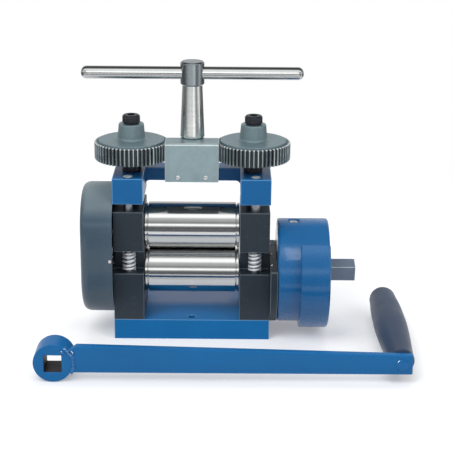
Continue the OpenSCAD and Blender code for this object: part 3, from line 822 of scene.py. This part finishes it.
def gearbox_cover():
    """End cover with a slightly coned face. Its radius swells by the lobe below 45 degrees
    from the top, over a short smooth step of t * t * (3 - 2 t)."""
    low, high = corners("gearbox_cover")
    start, end = low[0], high[0]
    *_, r, centre = extent("gearbox_drum", "X")
    swollen = (high[1] - low[1]) / 2
    angles = full_turn(240)
    from_top = np.abs((angles - math.pi / 2 + math.pi) % (2 * math.pi) - math.pi)
    t = np.clip((from_top - 43.6 * DEGREE) / (2.8 * DEGREE), 0, 1)
    swell = t * t * (3 - 2 * t)
    rim = r + (swollen - r) * swell
    lip = (0.01 + 0.99 * swell) * MM
    corner, cone = 2 * MM, 1.2 * MM
    neck = JOURNAL_R + 0.08 * MM
    face = end - cone
    rows = [(start, neck), (start, rim - lip), (start + 0.15 * MM, rim - 0.4 * lip),
            (start + 0.45 * MM, rim - 0.1 * lip), (start + 1.0 * MM, rim), (face - corner - 1.0 * MM, rim)]
    rows += rounded(face, rim, corner, 7, 1)
    rows += [(face + 0.05 * MM, rim - corner - 1.0 * MM), (end - 0.3 * MM, neck + 3 * MM),
             (end - 0.2 * MM, neck + 1.0 * MM), (end - 0.7 * MM, neck), (start, neck)]
    piece("enamelled_gearbox_cover", turned(rows, "X", centre, angles), CAST_BLUE, "frame",
          ("gearbox_cover",))


def oil_plug():
    """Plug with a hexagon recess, in its seat on top of the drum."""
    _, top, r, seat = extent("oil_plug", "Z")
    height = 1.6 * MM
    seat[2] = top - height
    piece("turned_oil_plug", screw_head(seat, "Z", 1, r, height), SMALL_STEEL, "frame",
          ("oil_plug",))


# ---------------------------------------------------------------- screw drive and handle

def screw_gear(side):
    """Screw gear: toothed rim with chamfered tips, a groove, a raised disc and a coned hub,
    over a blackened boss."""
    node = f"screw_gear_{side}"
    boss_foot, hub_top, _, centre = extent(node, "Z")
    teeth = 54
    angles, outline = gear_outline(GEAR_MODULE, teeth, math.pi / teeth)
    bottom = extent("handle_pinion", "Z").start
    top = bottom + 15.3 * MM
    bore = SPINDLE_R + 0.08 * MM
    disc = outline.max() - 3.5 * MM
    disc_top, groove_floor = top + 1.2 * MM, top - 0.9 * MM
    hub_r, hub_top_r = SPINDLE_R + 5.9 * MM, SPINDLE_R + 4.6 * MM
    upper = [(top, disc + 1.0 * MM), (groove_floor, disc + 0.7 * MM), (groove_floor, disc + 0.15 * MM),
             (disc_top, disc - 0.1 * MM), (disc_top, hub_r + 1.6 * MM),
             (disc_top + 1.4 * MM, hub_r - 0.15 * MM), (hub_top, hub_top_r), (hub_top, bore), (bottom, bore)]
    upper = eased(upper, np.array([0.2, 0.2, 0.4, 1.0, 1.0, 0.8, 0.5]) * MM)
    rows = [(bottom, bore), (bottom, disc)] + tooth_rows(bottom, top, outline, 0.9 * MM) + list(upper)
    steel = lathed(f"{node}_steel", "Z", centre, (0.225, 0.312, 0.34, 1), 0.36, 1500.0, 0.008 * MM, 0.1,
                   (outline.max(), top), 0.6)
    piece(f"cut_{node}", turned(rows, "Z", centre, angles), steel, f"gear_{side}", (node,),
          38 * DEGREE)
    under, boss = bottom + 0.3 * MM, SPINDLE_R + 2.2 * MM
    loop = [(under, bore), (boss_foot, bore), (boss_foot, boss), (under, boss), (under, bore)]
    piece(f"blackened_boss_{side}", turned(eased(loop, 0.4 * MM), "Z", centre, 64), BLACK_SCREW,
          f"gear_{side}")


def adjusting_screw(side):
    """Black screw: threaded shank, fluted head with a chamfer and a hexagon socket. A
    thread's radius falls and rises once for each lead of height, turned with the angle."""
    node = f"screw_{side}"
    foot, top, head_r, centre = extent(node, "Z")
    angles = full_turn(120)
    lead, depth, flute, flutes = 2 * MM, 0.9 * MM, 0.28 * MM, 30
    heights = foot + 1.2 * MM + np.arange(0, 12, 0.25) * MM
    wave = np.abs((heights[:, None] / lead - angles / (2 * math.pi)) % 1 - 0.5) * 2
    thread = list(zip(heights, SPINDLE_R - depth * (1 - wave)))
    fluted = head_r - flute * (0.5 + 0.5 * np.cos(flutes * angles))
    socket = hexagon(angles, 3 * MM)
    head, socket_floor = top - 6.5 * MM, top - 4 * MM
    rows = [(foot, 0), (foot, SPINDLE_R - 1 * MM)] + thread + [
        (heights[-1] + 0.3 * MM, SPINDLE_R), (head, SPINDLE_R), (head, head_r - 0.5 * MM),
        (head + 0.4 * MM, fluted), (top - 1.3 * MM, fluted), (top - 0.9 * MM, head_r - 0.35 * MM),
        (top - 0.3 * MM, head_r - 0.75 * MM), (top, head_r - 1.3 * MM), (top, socket + 0.5 * MM),
        (top - 0.3 * MM, socket), (socket_floor, socket), (socket_floor, 0)]
    piece(f"turned_{node}", turned(rows, "Z", centre, angles), BLACK_SCREW, f"screw_{side}",
          (node,), 36 * DEGREE)


def handle_stem():
    """Tapered bright stem under a short, darker hub with chamfered rims."""
    foot, top, r, centre = extent("handle_stem", "Z")
    seat = corners("gear_block")[1][2] + 0.3 * MM
    hub, hub_r, chamfer = top - 20 * MM, r - 0.25 * MM, 1.2 * MM
    profile = [(foot, 0), (foot, SPINDLE_R), (seat, SPINDLE_R), (seat, 9.7 * MM),
               (seat + 0.7 * MM, 10.23 * MM), (hub, 8.4 * MM), (hub, hub_r - chamfer), (hub + chamfer, hub_r),
               (top - chamfer, hub_r), (top, hub_r - chamfer), (top, 0)]
    steel = lathed("handle_stem_steel", "Z", centre, (0.72, 0.74, 0.73, 1), 0.15, 2200.0, 0.004 * MM)
    stem = piece("turned_handle_stem", turned(eased(profile, 0.25 * MM), "Z", centre, 120), steel, "handle",
                 ("handle_stem",))
    hub_steel = lathed("handle_hub_steel", "Z", centre, (0.30, 0.34, 0.36, 1), 0.2, 2200.0, 0.004 * MM)
    two_toned(stem, hub_steel, lambda spots: spots[:, 2] > hub - 0.05 * MM)


def handle_bar():
    """Polished cross bar with round ends."""
    start, end, r, centre = extent("handle_bar", "X")
    tip = 4.7 * MM
    profile = [(start, 0)] + rounded(start, r, tip, 9, -1) + rounded(end, r, tip, 9, 1) + [(end, 0)]
    steel = lathed("handle_bar_steel", "X", centre, (0.46, 0.47, 0.47, 1), 0.13, 1500.0, 0.002 * MM)
    return piece("turned_handle_bar", turned(profile, "X", centre, 72), steel, "handle",
                 ("handle_bar",))


def handle_pinion():
    """Pinion that drives both screw gears, and the thin collar under it."""
    start, end, _, centre = extent("handle_pinion", "Z")
    angles, outline = gear_outline(GEAR_MODULE, 38, 0)
    bore = SPINDLE_R + 0.05 * MM
    rows = plain_gear(start, end, outline, 0.7 * MM, outline.min() - 1.2 * MM, bore)
    steel = lathed("handle_pinion_steel", "Z", centre, (0.25, 0.33, 0.355, 1), 0.36,
                   teeth=(outline.max(), end), metallic=0.6)
    piece("cut_handle_pinion", turned(rows, "Z", centre, angles), steel, "handle",
          ("handle_pinion",), 38 * DEGREE)
    start, end, r, _ = extent("handle_collar", "Z")
    loop = sleeve(start, end, bore, r, 0.25 * MM)
    piece("turned_handle_collar", turned(loop, "Z", centre, 64), SMALL_STEEL, "handle",
          ("handle_collar",))


# ---------------------------------------------------------------- crank

def crank_hub():
    """Hub: a ring whose inner radius at angle a is half the socket over the larger of
    |cos a| and |sin a|, which is a square. The socket is bare steel."""
    low, high = corners("crank_hub")
    front, back = low[1], high[1]
    r = (high[2] - low[2]) / 2 - 0.01 * MM
    angles = full_turn(144)
    square = SOCKET_HALF / np.maximum(np.abs(np.cos(angles)), np.abs(np.sin(angles)))
    lip, soft = 0.3 * MM, 0.9 * MM
    rim = [(lip, square), (0, square + lip), (0, r - 1.6 * soft), (0, r - soft), (0.3 * soft, r - 0.3 * soft),
           (soft, r), (1.6 * soft, r)]
    rows = [((front + back) / 2, square)]
    rows += [(front + inwards, radius) for inwards, radius in rim]
    rows += [(back - inwards, radius) for inwards, radius in reversed(rim)]
    rows += rows[:1]
    centre = extent("crank_hub", "Y").centre
    made = piece("enamelled_crank_hub", turned(rows, "Y", centre, angles), CRANK_BLUE, "crank",
                 ("crank_hub",))
    reach = SOCKET_HALF + 0.05 * MM
    two_toned(made, BARE_SOCKET, lambda spots: np.abs(spots - centre)[:, [0, 2]].max(axis=1) < reach)


def crank_arm():
    """Flat arm: a rounded rectangle swept along X. Its height runs evenly from the hub's to
    the grip's, and both ends round over. A section point is the corner's centre plus the
    corner's radius times (cos a, sin a)."""
    low, high = corners("crank_arm")
    soft, slope_drop, slope_length = 1.1 * MM, 5 * MM, 7 * MM
    bend = np.linspace(0, math.pi / 2, 6)
    tip = high[0] - soft * (1 - np.sin(bend))
    along = np.linspace(low[0] + 0.1 * MM, tip[0] - 0.4 * MM, 40)
    x = np.concatenate([[low[0], low[0]], along, tip, [high[0]]])
    cut = np.concatenate([[1, 0.2 * MM / soft], np.zeros(len(along)), 1 - np.cos(bend), [1]])
    share = (x - low[0]) / (high[0] - low[0])
    bottom = ARM_AT_HUB[0] + (ARM_AT_GRIP[0] - ARM_AT_HUB[0]) * share
    top = ARM_AT_HUB[1] + (ARM_AT_GRIP[1] - ARM_AT_HUB[1]) * share
    top = top - slope_drop * np.clip(1 - (x - low[0]) / slope_length, 0, 1)
    quarter = np.repeat(np.arange(4), len(bend)) * math.pi / 2
    a = quarter + np.tile(bend, 4)
    side_y, side_z = np.sign(np.cos(quarter + math.pi / 4)), np.sign(np.sin(quarter + math.pi / 4))
    spread = np.ones(len(x))
    spread[[0, -1]] = 0
    half_y = ((high[1] - low[1]) / 2 - soft) * spread[:, None]
    half_z = (((top - bottom) / 2 - soft) * spread)[:, None]
    grown = soft * (1 - cut)[:, None]
    points = np.stack([
        np.broadcast_to(x[:, None], (len(x), len(a))),
        (low[1] + high[1]) / 2 + 0.1 * MM + side_y * half_y + grown * np.cos(a),
        ((top + bottom) / 2)[:, None] + side_z * half_z + grown * np.sin(a)], -1)
    piece("enamelled_crank_arm", (points.reshape(-1, 3), quads(len(x), len(a))), CRANK_BLUE, "crank",
          ("crank_arm",))


def crank_pin():
    """Bright pin, and its painted head: a dome on the front of the arm."""
    front, back, r, centre = extent("crank_pin", "Y")
    arm_front = corners("crank_arm")[0][1]
    bow = np.linspace(0, math.pi / 2, 10)
    dome = [(front + (arm_front - front) * (1 - math.cos(b)), math.sin(b) * r) for b in bow]
    dome += [(arm_front + 0.3 * MM, r * 0.9), (arm_front + 0.3 * MM, 0)]
    rivet = piece("painted_rivet", turned(dome, "Y", centre, 48), RIVET_BLUE, "crank",
                  ("crank_pin",))
    pin = rod(arm_front + 0.4 * MM, back, 4 * MM, 0.4 * MM)
    piece("turned_crank_pin", turned(pin, "Y", centre, 32), SMALL_STEEL, "crank",
          ("crank_pin",))
    return rivet


def grip():
    """Grip: radius blended through a few shares of the largest one, then a round tip. The
    blend is a running mean of straight stretches, so it never bulges past them."""
    front, back, r, centre = extent("crank_grip", "Y")
    length = back - front
    foot, tip_round, blend = 0.75, 9.6 * MM, 17
    places = np.array([0, 0.12, 0.3, 0.5, 0.75, 1 - tip_round / length])
    shares = np.array([foot, 0.8, 0.92, 1.0, 0.95, 0.82])
    t = np.linspace(0, places[-1], 120)
    span = np.pad(np.interp(t, places, shares), blend // 2, mode="edge")
    smooth = np.convolve(span, np.ones(blend) / blend, mode="valid")
    rows = [(front, 4.2 * MM), (front, foot * r - 1.2 * MM), (front + 0.35 * MM, foot * r - 0.35 * MM)]
    rows += [(front + max(share * length, 1.2 * MM), radius * r) for share, radius in zip(t, smooth)]
    rows += rounded(back, smooth[-1] * r, tip_round, 12, 1)[1:] + [(back, 0)]
    piece("moulded_crank_grip", turned(rows, "Y", centre, 96), GRIP_PLASTIC, "grip",
          ("crank_grip",))


# Runs of the weld: where each starts and ends round the hub in degrees, how far it lies
# outside the hub and its thickness, both in millimetres
WELD_RUNS = ((-31, 36, 0.9, 1.9), (30, 58, 0.4, 1.8), (42, 60, -3.0, 1.5), (24, 41, 3.2, 1.5))


def weld():
    """Weld bead round the seam of hub and arm: for each run a tube along an arc about the
    hub, whose radius and thickness ripple with sines of the share t along it."""
    low, high = corners("crank_hub")
    x, z = (low[0] + high[0]) / 2, (low[2] + high[2]) / 2
    r = (high[2] - low[2]) / 2
    t = np.linspace(0, 1, 100)
    ends = np.sqrt(np.clip(1 - (2 * t - 1) ** 6, 0.02, 1))
    shapes = []
    for first, last, lift, size in WELD_RUNS:
        a = (first + (last - first) * t) * DEGREE
        reach = r + (lift + 0.3 * np.sin(17 * t + size)) * MM
        thick = size * MM * (0.86 + 0.05 * np.sin(47 * t) + 0.06 * np.sin(19 * t + lift)) * ends
        front = low[1] + np.maximum(0.3 * MM, thick - 1.15 * MM)
        path = np.stack([x + reach * np.cos(a), front, z + reach * np.sin(a)], -1)
        shapes.append(tube(path, thick, 14))
    return piece("painted_weld_bead", joined(*shapes), GLOSS_BLUE, "crank")


# ---------------------------------------------------------------- small screws

def screw_head(centre, axis, facing, r, height):
    """Small domed screw head with a hexagon recess, facing along the axis or against it."""
    angles = full_turn(48)
    recess = hexagon(angles, 0.42 * r)
    rows = [(-0.3, 0), (-0.3, r), (0.25, r), (0.62, 0.93 * r), (0.9, 0.75 * r), (1, recess + 0.1 * r),
            (1, recess), (0.45, recess), (0.45, 0)]
    return turned([(facing * share * height, radius) for share, radius in rows], axis, centre, angles)


def small_screws():
    """Fastenings that show: gear block, plate rim and roll gear cover."""
    low, high = corners("gear_block")
    block = [screw_head((x, low[1], low[2] + 4.2 * MM), "Y", -1, 2.0 * MM, 1.1 * MM)
             for x in (-11.7 * MM, 11.7 * MM)]
    low, high = corners("gearbox_plate")
    plate = [screw_head((low[0] + 1.7 * MM, y, high[2]), "Z", 1, 1.2 * MM, 0.8 * MM)
             for y in (-38.5 * MM, -11 * MM, 16.5 * MM)]
    low, high = corners("roll_gear_cover")
    cover = [screw_head((high[0] - 2.0 * MM, y, 74.5 * MM), "Y", way, 1.5 * MM, 0.9 * MM)
             for way, y in ((-1, low[1] + 0.1 * MM), (1, high[1] - 0.1 * MM))]
    for name, heads in (("block_screws", block), ("plate_screws", plate), ("cover_screws", cover)):
        piece(name, joined(*heads), SMALL_STEEL, "frame")


# ---------------------------------------------------------------- build

castings()
pillars()
springs()
for roll_level in LEVELS:
    roll(roll_level)
    roll_gear(roll_level)
for bush_side in SIDES:
    bush(f"lower_bush_{bush_side}", "frame")
    bush(f"upper_bush_{bush_side}", "upper_carriage")
roll_gear_cover()
drum = gearbox_drum()
gearbox_cover()
oil_plug()
machined("drive_shaft", SHAFT_STEEL, "drive", 0.5 * MM, SHAFT_EDGE_HIGHLIGHT)
for gear_side in SIDES:
    screw_gear(gear_side)
    adjusting_screw(gear_side)
handle_stem()
polished_bar = handle_bar()
handle_pinion()
crank_hub()
crank_arm()
rivet_head = crank_pin()
grip()
weld_bead = weld()
small_screws()


# ---------------------------------------------------------------- bench, light and camera

def flat_card(name, points, material):
    """Flat card with four corners, which is no part of the object."""
    mesh = bpy.data.meshes.new(name)
    mesh.from_pydata(points, [], [(0, 1, 2, 3)])
    mesh.materials.append(material)
    made = placed(name, mesh)
    return made


def bench():
    """Pale bench top. Seen directly or in metal it glows a little, so that it reads as white
    away from the object's shadow; it throws no extra light on the object."""
    material, tree, surface = new_material("bench_paper")
    paper = put(tree, "BsdfDiffuse", {"Color": grey(0.80)})
    path = put(tree, "LightPath").outputs
    seen = math_node("MAXIMUM", path["Is Camera Ray"],
                     math_node("MAXIMUM", path["Is Glossy Ray"], path["Is Transmission Ray"]))
    glow = put(tree, "Emission", {"Color": grey(1), "Strength": times(seen, 0.27)})
    both = put(tree, "AddShader", {0: paper.outputs[0], 1: glow.outputs[0]})
    feed(surface, both.outputs[0])
    x0, x1, y0, y1 = -0.36, 0.42, -0.31, 0.46
    flat_card("bench_top", [(x0, y0, 0), (x1, y0, 0), (x1, y1, 0), (x0, y1, 0)], material)


def dark_card():
    """Low dark card in front of the bench that only shiny surfaces see."""
    material, tree, surface = new_material("black_felt")
    felt = put(tree, "Emission", {"Color": (0.17, 0.18, 0.2, 1)})
    feed(surface, felt.outputs[0])
    x, y, z0, z1 = 0.9, -0.36, -0.03, 0.062
    made = flat_card("dark_card", [(-x, y, z0), (x, y, z0), (x, y, z1), (-x, y, z1)], material)
    made.visible_camera = made.visible_diffuse = made.visible_shadow = False


# What polished metal sees: level bands over the pitch of a ray (0 ahead, 90 overhead, 180
# behind), and upright strips over its turn (0 ahead, 90 to the right)
BANDS = [(-180, 0.42), (-165, 0.42), (-160, 0.1), (0, 0.08), (6, 0.16), (10, 0.5), (13.5, 1.1), (18, 1.1),
         (21, 0.45), (26, 0.18), (31, 0.26), (36, 0.36), (45, 0.42), (49, 0.55), (54, 1.0), (65, 1.05),
         (71, 0.8), (75, 0.42), (79, 0.25), (87, 0.14), (96, 0.07), (104, 0.05), (128, 0.05), (136, 0.14),
         (146, 0.3), (157, 0.38), (172, 0.42), (180, 0.42)]
STRIPS = [(-180, 0.2), (-125, 0.14), (-104, 0.1), (-86, 0.09), (-74, 0.1), (-62, 0.26), (-48, 0.46),
          (-36, 0.55), (-20, 0.64), (2, 0.6), (9, 0.75), (16, 1.0), (22, 0.95), (31, 0.5), (39, 0.18),
          (50, 0.18), (58, 0.4), (68, 0.7), (80, 0.65), (90, 0.22), (108, 0.08), (140, 0.05), (180, 0.2)]


def ramp(angle, stops):
    """Colour ramp over a full turn: stops are (degrees, grey level)."""
    node = put(angle.id_data, "ValToRGB", {"Fac": fade(angle, -math.pi, math.pi)})
    elements = node.color_ramp.elements
    for index, (degrees, level) in enumerate(stops):
        place = (degrees + 180) / 360
        stop = elements[index] if index < 2 else elements.new(place)
        stop.position = place
        stop.color = grey(level)
    return node.outputs["Color"]


def studio():
    """Room light: even for matt surfaces, white behind the object, banded for shiny ones."""
    world = bpy.data.worlds.new("studio")
    bpy.context.scene.world = world
    world.use_nodes = True
    tree = world.node_tree
    tree.nodes.clear()
    even, mirror_gain = (0.50, 0.51, 0.53, 1), 1.8
    ray = put(tree, "SeparateXYZ", {"Vector": put(tree, "TexCoord").outputs["Generated"]}).outputs
    ahead = times(ray["Y"], -1.0)
    bands = ramp(math_node("ARCTAN2", ray["Z"], ahead), BANDS)
    strips = ramp(math_node("ARCTAN2", ray["X"], ahead), STRIPS)
    mirrored = mixed(fade(ray["Z"], -0.09, -0.12), bands, strips)
    path = put(tree, "LightPath").outputs
    lit = mixed(path["Is Glossy Ray"], even, brightened(mirrored, mirror_gain))
    seen = math_node("MAXIMUM", path["Is Camera Ray"], path["Is Transmission Ray"])
    background = put(tree, "Background", {"Color": mixed(seen, lit, grey(1))})
    feed(put(tree, "OutputWorld").inputs["Surface"], background.outputs[0])


def softbox(name, place, aim, width, height, power):
    """Soft lamp that lights matt surfaces and leaves the metal's bands alone."""
    lamp = bpy.data.lights.new(name, "AREA")
    lamp.shape = "RECTANGLE"
    lamp.size, lamp.size_y = width, height
    lamp.energy = power
    made = placed(name, lamp)
    heading = Vector(aim) - Vector(place)
    made.matrix_world = Matrix.Translation(place) @ heading.to_track_quat("-Z", "Y").to_matrix().to_4x4()
    made.visible_glossy = False
    return made


def glint(name, place, aim, width, height, power, *pieces):
    """Lamp that is only mirrored, and only in the given pieces."""
    made = softbox(name, place, aim, width, height, power)
    made.light_linking.receiver_collection = bpy.data.collections.new(name)
    for shiny in pieces:
        made.light_linking.receiver_collection.objects.link(shiny)
    made.visible_glossy = True
    made.visible_diffuse = made.visible_transmission = False


def camera():
    """Camera a little above the mill, looking down on it, with a slight tilt to the right."""
    focal_length, picture_width = 1300, 452
    pitch, tilt, distance = 18.24 * DEGREE, 0.44 * DEGREE, 1141.2 * MM
    target = Vector((29.04, 0, 90.6)) * MM
    forward = Vector((0, math.cos(pitch), -math.sin(pitch)))
    right = Vector((1, 0, 0))
    up = right.cross(forward)
    tilted_right = math.cos(tilt) * right + math.sin(tilt) * up
    tilted_up = math.cos(tilt) * up - math.sin(tilt) * right
    lens = bpy.data.cameras.new("camera")
    lens.sensor_width = 36
    lens.lens = focal_length * lens.sensor_width / picture_width
    lens.clip_start, lens.clip_end = 0.05, 20
    made = placed("camera", lens)
    turn = Matrix((tilted_right, tilted_up, -forward)).transposed().to_4x4()
    made.matrix_world = Matrix.Translation(target - forward * distance) @ turn
    bpy.context.scene.camera = made


bench()
studio()
dark_card()
softbox("key_light", (-0.55, -0.75, 1.15), (0, 0, 0.08), 0.8, 0.8, 9)
softbox("fill_light", (0.95, -0.70, 0.75), (0, 0, 0.08), 0.7, 0.7, 4)
softbox("top_light", (0.1, 0.5, 1.3), (0.05, 0, 0.08), 0.9, 0.9, 6)
glint("paint_glint", (-0.35, -1.0, 0.35), (0.03, -0.13, 0.02), 0.42, 0.42, 45, rivet_head, weld_bead)
glint("casting_glint", (0.121, -0.63, 0.896), (0.083, -0.047, 0.084), 0.042, 0.5, 0.7, drum)
glint("bar_glint", (0.0, -0.906, 0.678), (0.0, -0.013, 0.229), 0.7, 0.66, 2.0, polished_bar)
camera()
bpy.context.scene.view_settings.view_transform = "Standard"
